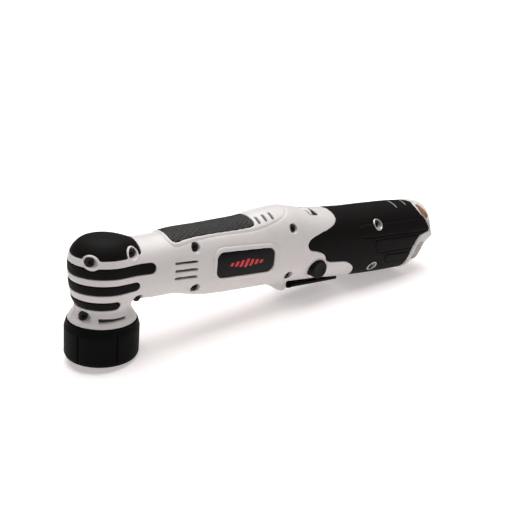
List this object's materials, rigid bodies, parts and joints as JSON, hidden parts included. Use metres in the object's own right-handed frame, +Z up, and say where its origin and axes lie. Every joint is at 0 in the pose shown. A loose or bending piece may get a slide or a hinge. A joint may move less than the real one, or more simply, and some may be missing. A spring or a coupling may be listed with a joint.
{
  "type": "angle die grinder",
  "caption": "Cordless right-angle die grinder or mini polisher: gear head on a round rubber skirt, slim motor handle, thumb dial, paddle switch and slide-out battery.",
  "frame": {"origin": "on the output spindle axis, in the plane of the spindle's open end and the skirt's lower edge", "axes": "+Z up along the output spindle into the head, +X back along the handle towards the battery, -Y the side with the screw wells"},
  "size_m": [0.3226, 0.058, 0.0913],
  "materials": {
    "grey_plastic": "fine-grained moulded plastic",
    "soft_rubber": "satin soft overmould",
    "textured_rubber": "pebbled soft grip",
    "skirt_rubber": "matte moulded rubber",
    "plate_plastic": "satin black plate",
    "black_plastic": "moulded black plastic",
    "dial_plastic": "pale moulded plastic",
    "cast_aluminium": "as-cast",
    "steel": "ground",
    "dark_steel": "blackened",
    "bright_ring": "polished rim",
    "ferrite": "sintered",
    "copper": "lacquered copper",
    "brass": "plated contacts",
    "wire": "wire insulation",
    "board": "lacquered board",
    "cell_wrap": "shrink wrap"
  },
  "bodies": {
    "housing": {"left_housing": "grey_plastic", "right_housing": "grey_plastic", "head_cap": "soft_rubber", "upper_stripe": "soft_rubber", "middle_stripe": "soft_rubber", "lower_stripe": "soft_rubber", "top_grip": "textured_rubber", "left_rear_grip": "soft_rubber", "right_rear_grip": "soft_rubber", "left_name_plate": "plate_plastic", "right_name_plate": "plate_plastic", "gear_case": "cast_aluminium", "bearing_plate": "steel", "lower_bearing": "steel", "upper_bearing": "steel", "pinion_bearing": "steel", "front_motor_bearing": "steel", "rear_motor_bearing": "steel", "motor_front_plate": "steel", "motor_can": "steel", "magnets": "ferrite", "brushes": "ferrite", "motor_end_bell": "black_plastic", "motor_leads": "wire", "paddle_pin": "steel", "switch_body": "black_plastic", "control_board": "board", "dial_shaft": "steel", "contact_block": "black_plastic", "contact_blades": "brass", "housing_screws": "dark_steel", "screw_bushes": "bright_ring", "skirt": "skirt_rubber", "plate_screws": "dark_steel", "paddle_spring": "steel"},
    "spindle": {"spindle": "steel", "spindle_clip": "dark_steel", "bevel_gear": "dark_steel"},
    "armature": {"pinion": "dark_steel", "armature_shaft": "steel", "fan": "black_plastic", "armature_core": "dark_steel", "windings": "copper", "commutator": "copper"},
    "paddle": {"paddle": "black_plastic"},
    "plunger": {"switch_plunger": "black_plastic"},
    "dial": {"speed_dial": "dial_plastic"},
    "lock": {"lock_button": "black_plastic"},
    "battery": {"battery_case": "black_plastic", "battery_base": "grey_plastic", "battery_cells": "cell_wrap", "battery_terminals": "brass"},
    "left_latch": {"left_latch": "grey_plastic"},
    "right_latch": {"right_latch": "grey_plastic"}
  },
  "joints": [
    {"name": "spindle_spin", "type": "hinge", "parent": "housing", "child": "spindle", "pos_m": [0, 0, 0], "axis": [0, 0, 1], "continuous": true},
    {"name": "armature_spin", "type": "hinge", "parent": "housing", "child": "armature", "pos_m": [0, 0, 0.057], "axis": [1, 0, 0], "continuous": true},
    {"name": "paddle_press", "type": "hinge", "parent": "housing", "child": "paddle", "pos_m": [0.19, 0, 0.036], "axis": [0, 1, 0], "range_deg": [0, 5], "stiffness_Nm_per_rad": 1.5, "springref_deg": -3.44, "deforming": ["paddle_spring"]},
    {"name": "plunger_press", "type": "slide", "parent": "housing", "child": "plunger", "axis": [0, 0, 1], "range_m": [0, 0.0038]},
    {"name": "dial_turn", "type": "hinge", "parent": "housing", "child": "dial", "pos_m": [0.1615, 0, 0.076], "axis": [1, 0, 0], "range_deg": [-135, 135]},
    {"name": "lock_press", "type": "slide", "parent": "housing", "child": "lock", "axis": [0, 1, 0], "range_m": [0, 0.003]},
    {"name": "battery_slide", "type": "slide", "parent": "housing", "child": "battery", "axis": [1, 0, 0], "range_m": [0, 0.06]},
    {"name": "left_latch_press", "type": "slide", "parent": "battery", "child": "left_latch", "axis": [0, 1, 0], "range_m": [0, 0.0015], "stiffness_N_per_m": 600, "springref_m": -0.002},
    {"name": "right_latch_press", "type": "slide", "parent": "battery", "child": "right_latch", "axis": [0, -1, 0], "range_m": [0, 0.0015], "stiffness_N_per_m": 600, "springref_m": -0.002}
  ],
  "couplings": [
    {"joint": "armature_spin", "follows": "spindle_spin", "ratio": 3},
    {"joint": "plunger_press", "follows": "paddle_press", "m_per_rad": 0.0425}
  ]
}
